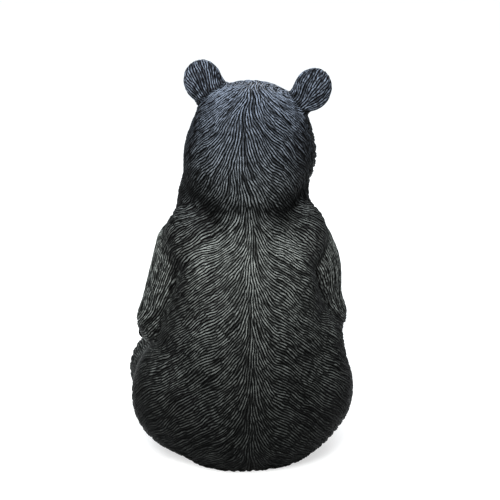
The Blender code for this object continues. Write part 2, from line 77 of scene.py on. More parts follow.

# How much of the grey paint was dry-brushed on, all over the bear, with painted light and shade
# laid into that share. Levels and reaches are shares of the height.
LOW_SHADED = 0.24  # share that is kept low on the body: painted shade, darker towards the bottom
LOW_SHADE_FADE = (0.08, 0.62)  # levels over which it grows to the whole, as that painted shade fades out
SIDE_SHADED = 0.22  # share on the parts that face sideways: painted shade
LIMB_BRUSH = 1.4  # but on arms, ears and thighs, over 1 for strokes that run into each other
TOP_PAINTED_LIGHT = 0.8  # what the parts that face up get more: painted light from overhead
# share on the parts that face back, towards the light: painted light
BACK_LIT = 1.0
FACING_BACK = (0.38, 1.02)  # how squarely a part faces back, from SIDE_SHADED to BACK_LIT
UP_AS_BACK = 0.8  # how far facing up counts as facing back
THIGH_BRUSH = (-0.11, 0.04)  # before the body's middle, from the body's share to the limbs'
CREASE_PAINTED_SHADE = 0.30  # share that reaches into the creases between limbs and body: painted shade
CREASE_REACH = 0.012  # how wide those are
RUFF_SHADE = 0.45  # share that is left below the ruff
SHADE_LEVELS = ((0.57, 0.64), (0.68, 0.74))  # where that shade comes in, and where it ends
SHADE_ASIDE = (0.03, 0.10)  # and how far beside the spine it comes in
UNBRUSHED_EDGE = 0.005  # how far the brush stayed off eyes, nose, mouth, claws and pads
SKY_TINT_LEVELS = (0.55, 0.95)  # over which the grey turns bluer: a painted reflection of the cool sky light
MUZZLE_EDGE = 0.010  # how far the muzzle's brown reaches beside it
MUZZLE_FRONT = (0.135, 0.205)  # before the head's pivot, from black to brown

BLOCKOUT_VOXEL = 0.0022  # grain of the block-out, in metres
DIVISIONS = 2
TRIANGLES = 197000
SETTLING_PASSES, FINE_PASSES = 6, 2  # on the block-out, and after each division
SETTLING_RELAX, FINE_RELAX = 0.5, 0.1  # how far each pass evens the vertices out
SETTLING_PULL = 0.8  # and how far towards the surface it moves them

# How the head is held, in degrees.
HEAD_PITCH = 0.0
HEAD_ROLL = -6.0  # the crown leans to the bear's right
HEAD_YAW = -16.0  # the face turns to the bear's right

# Every place and size from here to the meshes is a share of the height. A mass at one side is
# given at the bear's left and holds for both sides.
Egg = namedtuple("Egg", "centre axes lean", defaults=((0.0, 0.0, 0.0),))
Limb = namedtuple("Limb", "start end start_radius end_radius")

# Fillets between masses, from where they run together to where they only touch.
FLOWING = 0.060
SOFT = 0.050
BROAD = 0.040
ROOT = 0.030
FOLD = 0.022
CLOSE = 0.012
TIGHT = 0.006
CREASE = 0.002

# The space that is searched for the bear's surface, along each axis.
ROOM = ((-0.34, 0.34), (-0.52, 0.30), (-0.06, 1.05))

SWAY = -0.020  # how far the body leans to its right, over its height
SWAY_LEVEL = 0.45

TRUNK = (
    Egg((0.0, 0.050, 0.145), (0.228, 0.185, 0.176)),  # seat
    Egg((0.0, 0.038, 0.280), (0.220, 0.195, 0.315)),  # back
    Egg((0.0, -0.035, 0.270), (0.200, 0.185, 0.235)),  # belly
    Egg((0.0, -0.030, 0.500), (0.160, 0.145, 0.185)),  # chest
    Egg((-0.185, 0.010, 0.285), (0.074, 0.110, 0.090)),  # right flank, pressed up by the arm
    Egg((-0.100, 0.065, 0.100), (0.116, 0.115, 0.095)),  # right seat, which bears more weight
)
NECK = Egg((0.003, -0.020, 0.650), (0.168, 0.138, 0.180))
NAPE = Egg((0.003, 0.050, 0.685), (0.098, 0.085, 0.110))
SPINE = Limb((0.003, 0.058, 0.700), (0.003, 0.112, 0.520), 0.072, 0.060)
SHOULDER = Egg((0.122, 0.030, 0.572), (0.082, 0.092, 0.095), (0.0, 14.0, 0.0))
SHOULDER_BLADE = Egg((0.078, 0.108, 0.465), (0.088, 0.072, 0.125))

UPPER_ARM = Limb((0.148, -0.010, 0.545), (0.208, -0.018, 0.360), 0.077, 0.060)
FOREARM = Limb((0.206, -0.015, 0.345), (0.168, -0.205, 0.330), 0.058, 0.045)
RIGHT_ARM = Egg((-0.186, -0.010, 0.475), (0.061, 0.070, 0.090))  # its muscle, tensed
FOREPAW = Egg((0.158, -0.262, 0.318), (0.052, 0.062, 0.037), (14.0, 0.0, -6.0))

HAUNCH = Egg((0.140, 0.035, 0.180), (0.136, 0.155, 0.162))
THIGH = Limb((0.150, 0.020, 0.160), (0.184, -0.200, 0.165), 0.125, 0.098)
SHIN = Limb((0.184, -0.215, 0.135), (0.182, -0.360, 0.075), 0.088, 0.072)
FOOT = Egg((0.186, -0.400, 0.110), (0.064, 0.048, 0.114), (-8.0, 0.0, 12.0))

# The head's own space has its origin at the pivot, with the muzzle along -Y.
HEAD_PIVOT = (-0.006, 0.0, 0.797)
SKULL = Egg((0.0, -0.010, 0.045), (0.146, 0.150, 0.120))
RUFF = Egg((0.0, 0.030, -0.045), (0.152, 0.128, 0.110))
CHEEK = Egg((0.085, -0.055, -0.025), (0.078, 0.085, 0.085))
FOREHEAD = Egg((0.0, -0.100, 0.055), (0.085, 0.060, 0.058))
MUZZLE = Limb((0.0, -0.110, -0.005), (0.0, -0.222, -0.022), 0.070, 0.045)
JAW = Limb((0.0, -0.090, -0.055), (0.0, -0.198, -0.060), 0.055, 0.030)
NOSE = Egg((0.0, -0.262, 0.000), (0.034, 0.022, 0.024), (-12.0, 0.0, 0.0))
NOSTRIL = Egg((0.015, -0.284, -0.004), (0.008, 0.012, 0.006))
EYE_SOCKET = Egg((0.059, -0.176, 0.034), (0.026, 0.024, 0.020), (0.0, 0.0, 28.0))
EYEBALL = Egg((0.057, -0.152, 0.034), (0.019, 0.019, 0.019))
LIDS = (
    Limb((0.037, -0.180, 0.045), (0.058, -0.168, 0.055), 0.006, 0.008),
    Limb((0.058, -0.168, 0.055), (0.079, -0.150, 0.044), 0.008, 0.006),
    Limb((0.039, -0.180, 0.022), (0.060, -0.168, 0.012), 0.004, 0.005),
    Limb((0.060, -0.168, 0.012), (0.079, -0.152, 0.025), 0.005, 0.004),
)
EAR_SHIFT = (-0.009, 0.0, 0.0195)  # the pair of ears sits less aslant than the head
EAR_ROLL = 3.0  # degrees
EAR = Egg((0.136, 0.000, 0.137), (0.048, 0.023, 0.054), (6.0, 24.0, 14.0))
EAR_HOLLOW = Egg((0.140, -0.025, 0.141), (0.033, 0.017, 0.040), (6.0, 24.0, 14.0))
MOUTH = (
    Limb((0.0, -0.268, -0.022), (0.0, -0.260, -0.046), 0.005, 0.006),
    Limb((0.0, -0.260, -0.046), (0.022, -0.250, -0.050), 0.006, 0.007),
    Limb((0.022, -0.250, -0.050), (0.033, -0.231, -0.051), 0.007, 0.007),
    Limb((0.033, -0.231, -0.051), (0.038, -0.205, -0.050), 0.007, 0.007),
    Limb((0.038, -0.205, -0.050), (0.047, -0.175, -0.046), 0.007, 0.006),
    Limb((0.047, -0.175, -0.046), (0.068, -0.152, -0.036), 0.006, 0.004),
)

# What the growth of the coat is laid by: places in the head's space, and levels on the body.
CROWN = (0.0, -0.040, 0.160)
NOSE_TIP = (0.0, -0.280, 0.010)
EAR_ROOT = (0.105, 0.010, 0.090)
BACK_OF_HEAD = (-0.015, 0.035)  # from the face's coat to that behind the crown
ELBOW_LEVEL = (0.40, 0.32)  # from the upper arm's coat to the forearm's
HIP_FRONT = (-0.12, -0.02)  # from the thigh's coat to the haunch's
KNEE_FRONT = (-0.19, -0.24)  # from the thigh's coat to the shin's
PARTING = 0.07  # from the spine to where the coat is turned aside in full
ASIDE = 1.3  # how far it turns, as against its fall
HEAD_PARTING = 0.09
HEAD_FALL = (0.4, 0.9, 1.3)  # how strongly it runs from the crown, down and aside behind it
FACE_FALL = 0.7  # and to the crown before it, as against from the nose
EAR_HOLD = 2.0  # how firmly an ear's coat keeps its own way
SOLE_RISE = (0.0, -0.3, 1.0)  # the way the coat of a foot runs
SHORT_THIGH = (0.04, 0.11)  # behind the body's middle, from short hair to long

# How the coat's depth is shared out.
SHORT_DEPTH = 0.65
MUZZLE_DEPTH = 0.30
BARE_EDGE = 0.003
EYE_EDGE = 0.010


def paw_toes(across, rise, front, count=5, spread=0.086, radius=0.017):
    """Toes in a fan across a paw, as eggs, and the claw of each, as limbs."""
    toes, claws = [], []
    for index in range(count):
        share = index / (count - 1) - 0.5
        x = across + spread * share
        y = front + 0.030 * (2.0 * share) ** 2
        toes.append(Egg((x, y, rise), (radius, radius * 1.3, radius)))
        tip = (x + 0.012 * share, y - 0.040, rise - 0.020)
        claws.append(Limb((x, y - 0.8 * radius, rise), tip, 0.0085, 0.004))
    return toes, claws


def foot_toes(across, rise, front, count=5, spread=0.096, radius=0.0185):
    """Toes along the top of an upright sole, as eggs, and the claw of each, as limbs."""
    toes, claws = [], []
    for index in range(count):
        share = index / (count - 1) - 0.5
        x = across + spread * share
        z = rise - 0.034 * (2.0 * share) ** 2
        toes.append(Egg((x, front, z), (radius, radius, radius * 1.15)))
        tip = (x + 0.020 * share, front - 0.032, z + 0.026)
        claws.append(Limb((x, front - 0.5 * radius, z + 0.4 * radius), tip, 0.0085, 0.004))
    return toes, claws


FOREPAW_TOES, FOREPAW_CLAWS = paw_toes(across=0.156, rise=0.302, front=-0.312)
FOOT_TOES, FOOT_CLAWS = foot_toes(across=0.194, rise=0.218, front=-0.418)
SOLE_PADS = (
    Egg((0.193, -0.440, 0.128), (0.046, 0.011, 0.036), (-8.0, 0.0, 12.0)),
    Egg((0.188, -0.436, 0.056), (0.030, 0.010, 0.026), (-8.0, 0.0, 12.0)),
)


def length_of(vectors):
    return np.sqrt(np.einsum("ij,ij->i", vectors, vectors))


def unit(vectors):
    return vectors / np.maximum(length_of(vectors), 1e-9)[:, None]


def turn_of(degrees):
    return np.array(Euler([math.radians(angle) for angle in degrees]).to_matrix())


def distance(points, mass):
    """How far the points are outside a mass. It is negative inside and exact on the surface."""
    if isinstance(mass, Egg):
        axes = np.array(mass.axes)
        local = (points - np.array(mass.centre)) @ turn_of(mass.lean) / axes
        reach = length_of(local)
        return reach * (reach - 1.0) / np.maximum(length_of(local / axes), 1e-9)
    start = np.array(mass.start)
    along = np.array(mass.end) - start
    share = np.clip((points - start) @ along / (along @ along), 0.0, 1.0)
    radius = mass.start_radius + share * (mass.end_radius - mass.start_radius)
    return length_of(points - start - share[:, None] * along) - radius


def joined(first, second, blend):
    """Two masses as one, with a fillet about as wide as blend where they meet."""
    overlap = np.maximum(blend - np.abs(first - second), 0.0) / blend
    return np.minimum(first, second) - overlap * overlap * blend / 4.0


def carved(mass, tool, blend):
    return -joined(-mass, tool, blend)


def merged(points, masses, blend):
    total = distance(points, masses[0])
    for mass in masses[1:]:
        total = joined(total, distance(points, mass), blend)
    return total


def folded(points):
    """The points with the bear's right side laid over its left."""
    return np.stack((np.abs(points[:, 0]), points[:, 1], points[:, 2]), 1)


def upright(points):
    """The points with the sway taken out of the body."""
    swayed = points.copy()
    swayed[:, 0] -= SWAY * (points[:, 2] - SWAY_LEVEL)
    return swayed


def head_turn():
    return turn_of((HEAD_PITCH, HEAD_ROLL, HEAD_YAW))


def in_head_space(points):
    return (points - np.array(HEAD_PIVOT)) @ head_turn()


def in_ear_space(points):
    return (in_head_space(points) - np.array(EAR_SHIFT)) @ turn_of((0.0, EAR_ROLL, 0.0))


def regions(points):
    """Distance to each region of the bear by name, and to the whole bear."""
    points = upright(points)
    side = folded(points)
    face = folded(in_head_space(points))
    trunk = merged(points, TRUNK, FLOWING)
    trunk = joined(trunk, distance(points, NECK), SOFT)
    trunk = joined(trunk, distance(points, SPINE), FLOWING)
    trunk = joined(trunk, distance(side, SHOULDER_BLADE), BROAD)
    trunk = joined(trunk, distance(side, SHOULDER), FOLD)

    arm = joined(distance(side, UPPER_ARM), distance(side, FOREARM), ROOT)
    arm = joined(arm, distance(points, RIGHT_ARM), ROOT)
    forepaw = joined(distance(side, FOREPAW), merged(side, FOREPAW_TOES, TIGHT), CLOSE)
    leg = joined(distance(side, THIGH), distance(side, SHIN), SOFT)
    leg = joined(leg, distance(side, HAUNCH), SOFT)
    foot = joined(distance(side, FOOT), merged(side, FOOT_TOES, TIGHT), CLOSE)
    pads = merged(side, SOLE_PADS, TIGHT)
    claws = merged(side, (*FOREPAW_CLAWS, *FOOT_CLAWS), CREASE)

    head = joined(distance(face, SKULL), distance(face, RUFF), FLOWING)
    head = joined(head, distance(points, NAPE), SOFT)
    head = joined(head, distance(face, CHEEK), SOFT)
    head = joined(head, distance(face, FOREHEAD), FLOWING)
    muzzle = joined(distance(face, MUZZLE), distance(face, JAW), FOLD)
    head = joined(head, muzzle, BROAD)
    mouth = merged(face, MOUTH, TIGHT)
    head = carved(head, distance(face, EYE_SOCKET), CLOSE)
    head = carved(head, mouth, TIGHT)
    head = joined(head, merged(face, LIDS, TIGHT), TIGHT)
    ears = folded(in_ear_space(points))
    ear = carved(distance(ears, EAR), distance(ears, EAR_HOLLOW), CLOSE)
    eye = distance(face, EYEBALL)
    nose = carved(distance(face, NOSE), distance(face, NOSTRIL), TIGHT)

    bear = joined(trunk, leg, FOLD)
    bear = joined(bear, joined(arm, forepaw, ROOT), CLOSE)
    bear = joined(bear, foot, ROOT)
    bear = joined(bear, pads, TIGHT)
    bear = joined(bear, claws, TIGHT)
    bear = joined(bear, joined(head, ear, ROOT), FOLD)
    bear = joined(bear, eye, CREASE)
    bear = joined(bear, nose, TIGHT)
    return {
        "trunk": trunk,
        "arm": arm,
        "forepaw": forepaw,
        "leg": leg,
        "foot": foot,
        "pads": pads,
        "claws": claws,
        "head": head,
        "muzzle": muzzle,
        "mouth": mouth,
        "ear": ear,
        "eye": eye,
        "nose": nose,
        "bear": bear,
    }


def corners_of(nodes):
    """The eight corners of each grid cell, the last in the list opposite to the first."""
    last = np.array(nodes.shape) - 1
    return [nodes[i : last[0] + i, j : last[1] + j, k : last[2] + k] for i, j, k in np.ndindex(2, 2, 2)]


def without_touching(inside):
    """The nodes with those filled in that would leave two parts touching at a line or a point."""
    while True:
        before = inside.sum()
        for turn in ((0, 1, 2), (1, 2, 0), (2, 0, 1)):
            layer = inside.transpose(turn)
            one, other = layer[:, :-1, :-1], layer[:, 1:, 1:]
            left, right = layer[:, 1:, :-1], layer[:, :-1, 1:]
            left |= one & other & ~right
            one |= left & right & ~other
        corners = corners_of(inside)
        for index in range(4):
            one, other = corners[index], corners[-1 - index]
            rest = corners[:index] + corners[index + 1 : 7 - index] + corners[8 - index :]
            rest[0] |= one & other & ~np.logical_or.reduce(rest)
            one |= ~other & np.logical_and.reduce(rest)
        if inside.sum() == before:
            return inside


def blocked_out(name):
    """A closed mesh near the blended surface, with one vertex in each grid cell that it crosses."""
    step = BLOCKOUT_VOXEL / HEIGHT
    rows = [np.arange(low, high, step) for low, high in ROOM]
    nodes = np.stack(np.meshgrid(*rows, indexing="ij"), -1)
    slabs = [regions(slab.reshape(-1, 3))["bear"].reshape(slab.shape[:2]) for slab in nodes]
    inside = without_touching(np.stack(slabs) < 0.0)
    corners = corners_of(inside)
    crossed = np.logical_or.reduce(corners) & ~np.logical_and.reduce(corners)
    number = np.zeros(crossed.shape, np.int32)
    number[crossed] = np.arange(crossed.sum())
    faces = []
    for axis in range(3):
        turn = (axis, (axis + 1) % 3, (axis + 2) % 3)
        solid, cell = inside.transpose(turn), number.transpose(turn)
        first, second = solid[:-1, 1:-1, 1:-1], solid[1:, 1:-1, 1:-1]
        around = (cell[:, :-1, :-1], cell[:, 1:, :-1], cell[:, 1:, 1:], cell[:, :-1, 1:])
        ring = np.stack(around, -1)
        faces += [ring[first & ~second], ring[second & ~first][:, ::-1]]
    mesh = bpy.data.meshes.new(name)
    points = nodes[:-1, :-1, :-1][crossed] + 0.5 * step
    mesh.from_pydata(HEIGHT * points, [], np.concatenate(faces))
    obj = bpy.data.objects.new(name, mesh)
    bpy.context.scene.collection.objects.link(obj)
    return obj


def apply_modifiers(obj):
    """Bakes the object's modifiers into its mesh."""
    graph = bpy.context.evaluated_depsgraph_get()
    mesh = bpy.data.meshes.new_from_object(obj.evaluated_get(graph))
    old = obj.data
    obj.modifiers.clear()
    obj.data = mesh
    bpy.data.meshes.remove(old)
    mesh.name = obj.name


def read_points(mesh):
    points = np.empty(len(mesh.vertices) * 3, np.float32)
    mesh.vertices.foreach_get("co", points)
    return points.reshape(-1, 3).astype(np.float64)


def read_normals(mesh):
    normals = np.empty(len(mesh.vertices) * 3, np.float32)
    mesh.vertex_normals.foreach_get("vector", normals)
    return normals.reshape(-1, 3).astype(np.float64)


def read_edges(mesh):
    edges = np.empty(len(mesh.edges) * 2, np.int32)
    mesh.edges.foreach_get("vertices", edges)
    return edges.reshape(-1, 2)


def read_triangles(mesh):
    corners = np.empty(len(mesh.polygons) * 3, np.int32)
    mesh.polygons.foreach_get("vertices", corners)
    return corners.reshape(-1, 3)


def write_points(mesh, points):
    mesh.vertices.foreach_set("co", points.astype(np.float32).ravel())
    mesh.update()


def neighbour_sum(edges, values, count):
    """For each vertex, the sum of a value over the vertices that share an edge with it."""
    first, second = edges.T
    columns = [
        np.bincount(first, column[second], count) + np.bincount(second, column[first], count)
        for column in values.T
    ]
    return np.stack(columns, 1)


def drop_specks(mesh):
    """Removes what the block-out leaves loose around thin tips."""
    edges = read_edges(mesh)
    label = np.arange(len(mesh.vertices))
    while True:
        lowest = np.minimum(label[edges[:, 0]], label[edges[:, 1]])
        spread = label.copy()
        np.minimum.at(spread, edges[:, 0], lowest)
        np.minimum.at(spread, edges[:, 1], lowest)
        spread = spread[spread]
        if np.array_equal(spread, label):
            break
        label = spread
    loose = np.flatnonzero(label != np.bincount(label).argmax())
    if len(loose) == 0:
        return
    block = bmesh.new()
    block.from_mesh(mesh)
    block.verts.ensure_lookup_table()
    bmesh.ops.delete(block, geom=[block.verts[index] for index in loose], context="VERTS")
    block.to_mesh(mesh)
    block.free()


def settle(mesh, passes, relax):
    """Moves the vertices onto the blended surface, evening them out along it."""
    edges = read_edges(mesh)
    count = len(mesh.vertices)
    valence = np.bincount(edges.ravel(), minlength=count)[:, None]
    for _ in range(passes):
        points = read_points(mesh)
        normals = read_normals(mesh)
        away = regions(points / HEIGHT)["bear"] * HEIGHT
        drift = neighbour_sum(edges, points, count) / valence - points
        points += relax * drift - SETTLING_PULL * away[:, None] * normals
        write_points(mesh, points)


def share_between(value, low, high):
    return np.clip((value - low) / (high - low), 0.0, 1.0)


def growth(points, normals, found):
    """The direction in which the coat grows at each point, along the surface."""
    down = np.array((0.0, 0.0, -1.0))
    points = upright(points)
    side = folded(points)
    flip = np.sign(points[:, :1] + 1e-12)

    # On the trunk the coat parts along the spine and runs down and round to the belly.
    level = np.stack((normals[:, 1], -normals[:, 0], np.zeros(len(points))), 1)
    around = flip * unit(level)
    trunk = down + ASIDE * np.clip(side[:, :1] / PARTING, 0.0, 1.0) * around

    # On the head it parts in the same way behind the crown, and runs back from the nose.
    face = in_head_space(points)
    from_crown = unit(face - np.array(CROWN)) @ head_turn().T
    from_nose = unit(face - np.array(NOSE_TIP)) @ head_turn().T
    parting = np.clip(face[:, :1] / HEAD_PARTING, -1.0, 1.0)
    back_of_head = HEAD_FALL[0] * from_crown + HEAD_FALL[1] * down + HEAD_FALL[2] * parting * level
    behind = share_between(face[:, 1:2], *BACK_OF_HEAD)
    head = behind * back_of_head + (1.0 - behind) * (from_nose - FACE_FALL * from_crown)
    ear = unit(folded(face) - np.array(EAR_ROOT))
    ear[:, 0] *= np.sign(face[:, 0] + 1e-12)
    ear = ear @ head_turn().T

    def along(limb):
        direction = np.array(limb.end) - np.array(limb.start)
        direction = np.tile(direction / np.linalg.norm(direction), (len(points), 1))
        direction[:, :1] *= flip
        return direction

    weights = {name: np.exp(-(found[name] - found["bear"]) / NEARNESS)[:, None] for name in found}
    lower_arm = share_between(points[:, 2:3], *ELBOW_LEVEL)
    lower_leg = share_between(points[:, 1:2], *KNEE_FRONT)
    haunch = share_between(points[:, 1:2], *HIP_FRONT)
    flow = weights["trunk"] * unit(trunk)
    flow += weights["head"] * unit(head)
    flow += EAR_HOLD * weights["ear"] * unit(ear)
    flow += weights["arm"] * (lower_arm * along(FOREARM) + (1.0 - lower_arm) * along(UPPER_ARM))
    thigh = haunch * unit(trunk) + (1.0 - haunch) * along(THIGH)
    flow += weights["leg"] * (lower_leg * along(SHIN) + (1.0 - lower_leg) * thigh)
    flow += weights["forepaw"] * along(FOREARM)
    flow += weights["foot"] * np.array(SOLE_RISE)
    flow -= np.einsum("ij,ij->i", flow, normals)[:, None] * normals
    return unit(flow)


def turned(words, count):
    return words << count | words >> (32 - count)


def hash_of(words):
    """A number from 0 to 1 for each four, as the shader's own hash of them gives it."""
    x, y, z, w = (np.ascontiguousarray(word, np.float32).view(np.uint32) for word in words)
    start = np.uint32(0xDEADBEEF + 16 + 13)
    a, b, c = x + start, y + start, z + start
    a = (a - c) ^ turned(c, 4)
    c = c + b
    b = (b - a) ^ turned(a, 6)
    a = a + c
    c = (c - b) ^ turned(b, 8)
    b = b + a
    a = (a - c) ^ turned(c, 16)
    c = c + b
    b = (b - a) ^ turned(a, 19)
    a = a + c
    c = (c - b) ^ turned(b, 4)
    b = b + a
    a = a + w
    c = (c ^ b) - turned(b, 14)
    a = (a ^ c) - turned(c, 11)
    b = (b ^ a) - turned(a, 25)
    c = (c ^ b) - turned(b, 16)
    a = (a ^ c) - turned(c, 4)
    b = (b ^ a) - turned(a, 14)
    c = (c ^ b) - turned(b, 24)
    return c.astype(np.float32) / np.float32(0xFFFFFFFF)


def ripples(place, across, width):
    """What the Gabor texture of the paint gives for ripples of a width: about 0.5, at most 0..1.

    The texture puts a few short wave trains in each of its cells, all with the ripples' own
    direction, and adds up those that reach a place.
    """
    impulses = 8
    places = place / (ABREAST * width)
    whole = np.floor(places).astype(np.int32)
    low = whole.min(0) - 1
    size = whole.max(0) + 2 - low
    cells = np.indices(size).reshape(3, -1).T + low
    x, y, z = cells.T.astype(np.float32)
    share = (places - whole).astype(np.float32)
    index = np.ravel_multi_index((whole - low).T, size)
    strides = np.array((size[1] * size[2], size[2], 1))
    wave = (2.0 * math.pi * ABREAST * across).astype(np.float32)
    total = np.zeros(len(places), np.float32)
    for impulse in range(impulses):
        seed = np.full(len(cells), 3 * impulse + 1, np.float32)
        centre = [hash_of((x, y, z, seed)), hash_of((z, x, seed, y)), hash_of((seed, z, y, x))]
        centre = np.stack(centre, 1)
        sign = np.where(hash_of((x, y, z, seed + 1)) < 0.5, np.float32(-1.0), np.float32(1.0))
        for neighbour in np.ndindex(3, 3, 3):
            step = np.array(neighbour) - 1
            cell = index + int(step @ strides)
            offset = share - step.astype(np.float32) - centre[cell]
            square = np.einsum("ij,ij->i", offset, offset)
            near = np.flatnonzero(square < 1.0)
            square = square[near]
            window = np.exp(-math.pi * square) * (0.5 + 0.5 * np.cos(math.pi * square))
            window *= sign[cell[near]]
            total[near] += window * np.sin(np.einsum("ij,ij->i", offset[near], wave[near]))
    spread = math.sqrt(impulses * 0.5 / (4.0 * math.sqrt(2.0)))
    return 0.5 + total / (12.0 * spread)


def wavered(points):
    """The points shifted to and fro a little, so that strokes laid by them waver."""
    wander = np.sin(points[:, [1, 2, 0]] / WAVERING[0]) + np.sin(points[:, [2, 0, 1]] / WAVERING[1])
    return points + WANDER * wander


def ramp(value, low, high):
    """A smooth step of a value from 0 at low to 1 at high."""
    share = share_between(value, low, high)
    return share * share * (3.0 - 2.0 * share)


def closeness(found, name, reach=NEARNESS):
    """1 on a region of the bear, falling to 0 away from it."""
    return np.exp(-np.maximum(found[name] - found["bear"], 0.0) / reach)


def short_coat(points, found):
    """1 where the hair is short, on arms, thighs, ears and paws, and 0 on the body."""
    short = sum(closeness(found, name) for name in ("arm", "ear", "foot", "forepaw"))
    short = short + closeness(found, "leg") * (1.0 - ramp(points[:, 1], *SHORT_THIGH))
    return np.clip(short, 0.0, 1.0)


def carving_depth(short, found):
    """How deeply the coat is carved at each point, from 0 on bare places to 1 on the back."""
    bare = [closeness(found, name, BARE_EDGE) for name in ("nose", "mouth", "claws", "pads")]
    bare.append(closeness(found, "eye", EYE_EDGE))
    coat = 1.0 + (SHORT_DEPTH - 1.0) * short
    coat *= 1.0 + (MUZZLE_DEPTH - 1.0) * closeness(found, "muzzle")
    return coat * (1.0 - np.maximum.reduce(bare))


def grey_share_and_light(points, normals, found):
    """How much grey paint is laid at each point, from 0 to 1: dry-brushed paint, with painted shade low on
    the body, on the sides, in creases and below the ruff, and painted light on the parts that face back and
    up.
    """
    # Painted shade: less grey low on the body, darker towards the bottom.
    height = LOW_SHADED + (1.0 - LOW_SHADED) * ramp(points[:, 2], *LOW_SHADE_FADE)
    # Painted light on the parts that face back and up, painted shade on those that face sideways.
    upward = np.maximum(normals[:, 2], 0.0)
    facing = ramp(normals[:, 1] + UP_AS_BACK * upward, *FACING_BACK)
    body = SIDE_SHADED + (BACK_LIT - SIDE_SHADED) * facing
    limbs = closeness(found, "arm") + closeness(found, "ear")
    limbs += closeness(found, "leg") * ramp(-points[:, 1], *THIGH_BRUSH)
    limbs = np.clip(limbs, 0.0, 1.0)
    # Painted shade in the creases between arm and trunk, ear and head, arm and leg, head and trunk.
    pairs = (("arm", "trunk"), ("ear", "head"), ("arm", "leg"), ("head", "trunk"))
    crease = [
        np.abs(found[one] - found[other])
        + np.maximum(np.minimum(found[one], found[other]) - found["bear"] - CREASE_REACH, 0.0)
        for one, other in pairs
    ]
    clear = ramp(np.minimum.reduce(crease), 0.0, CREASE_REACH)
    coming, ending = SHADE_LEVELS
    below_ruff = ramp(points[:, 2], *coming) * (1.0 - ramp(points[:, 2], *ending))
    below_ruff *= ramp(np.abs(points[:, 0]), *SHADE_ASIDE)
    bare = ("eye", "nose", "mouth", "claws", "pads")
    edges = [closeness(found, name, UNBRUSHED_EDGE) for name in bare]
    # The parts that face up get more grey: painted light from overhead.
    grey_and_light = height * (body + limbs * (LIMB_BRUSH - body)) * (1.0 + TOP_PAINTED_LIGHT * upward * upward)
    grey_and_light *= CREASE_PAINTED_SHADE + (1.0 - CREASE_PAINTED_SHADE) * clear
    grey_and_light *= 1.0 - (1.0 - RUFF_SHADE) * below_ruff
    return grey_and_light * (1.0 - np.maximum.reduce(edges))


def carve_fur(mesh):
    """Cuts the coat into the casting, and keeps on the mesh what its paint is laid by."""
    points, normals = read_points(mesh), read_normals(mesh)
    found = regions(points / HEIGHT)
    flow = growth(points / HEIGHT, normals, found)
    across = unit(np.cross(normals, flow))
    short = short_coat(points / HEIGHT, found)
    depth = carving_depth(short, found)
    place = wavered(points)
    strand = ramp(ripples(place, across, STRAND_WIDTH), STRAND_FOOT, STRAND_TOP)
    lock = ramp(ripples(place, across, LOCK_WIDTH), LOCK_FOOT, LOCK_TOP)
    relief = LOCK_DEPTH * (lock - 1.0) + STRAND_DEPTH * (strand - STRAND_SUNK)
    write_points(mesh, points + (relief * depth)[:, None] * normals)
    # The grey share, with its painted light and shade.
    grey_and_light = grey_share_and_light(points / HEIGHT, normals, found)
    for name, values in (("hair_place", place), ("hair_across", across)):
        layer = mesh.attributes.new(name, "FLOAT_VECTOR", "POINT")
        layer.data.foreach_set("vector", values.astype(np.float32).ravel())
    face = in_head_space(upright(points / HEIGHT))
    kept = {
        "hair_lock": lock,
        "hair_depth": depth,
        "hair_grey_and_light": grey_and_light,
        "hair_short": short,
        "hair_muzzle": closeness(found, "muzzle", MUZZLE_EDGE) * ramp(-face[:, 1], *MUZZLE_FRONT),
        # Painted reflection of the cool sky light: the grey turns bluer higher up.
        "hair_sky_tint": ramp(points[:, 2] / HEIGHT, *SKY_TINT_LEVELS),
    }
    for name, values in kept.items():
        layer = mesh.attributes.new(name, "FLOAT", "POINT")
        layer.data.foreach_set("value", values.astype(np.float32))


def divide(obj):
    subdivision = obj.modifiers.new("divide", "SUBSURF")
    subdivision.levels = subdivision.render_levels = 1
    apply_modifiers(obj)


def thin_out(obj, triangles):
    """Collapses the carved mesh to a number of triangles, which gather along the strokes."""
    obj.data.calc_loop_triangles()
    decimate = obj.modifiers.new("thin out", "DECIMATE")
    decimate.ratio = triangles / len(obj.data.loop_triangles)
    apply_modifiers(obj)


def cut_base(obj):
    """Cuts the casting off flat at the floor."""
    block = bmesh.new()
    block.from_mesh(obj.data)
    everything = [*block.verts, *block.edges, *block.faces]
    bmesh.ops.bisect_plane(
        block, geom=everything, dist=1e-6, plane_co=(0, 0, 0), plane_no=(0, 0, -1), clear_outer=True
    )
    rims = [edge for edge in block.edges if edge.is_boundary]
    bmesh.ops.holes_fill(block, edges=rims)
    bmesh.ops.triangulate(block, faces=block.faces)
    block.to_mesh(obj.data)
    block.free()


def fit_to_frame(mesh):
    """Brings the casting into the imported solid's box."""
    points = read_points(mesh)
    low, high = points.min(0), points.max(0)
    wanted_low, wanted_high = np.array(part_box("bear")[0]), np.array(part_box("bear")[1])
    points = wanted_low + (points - low) * (wanted_high - wanted_low) / (high - low)
    write_points(mesh, points)


# Paint.

# Noise of a scale and detail, spread from low..high over least..most.
Mottle = namedtuple("Mottle", "scale detail low high least most", defaults=(1.0,))


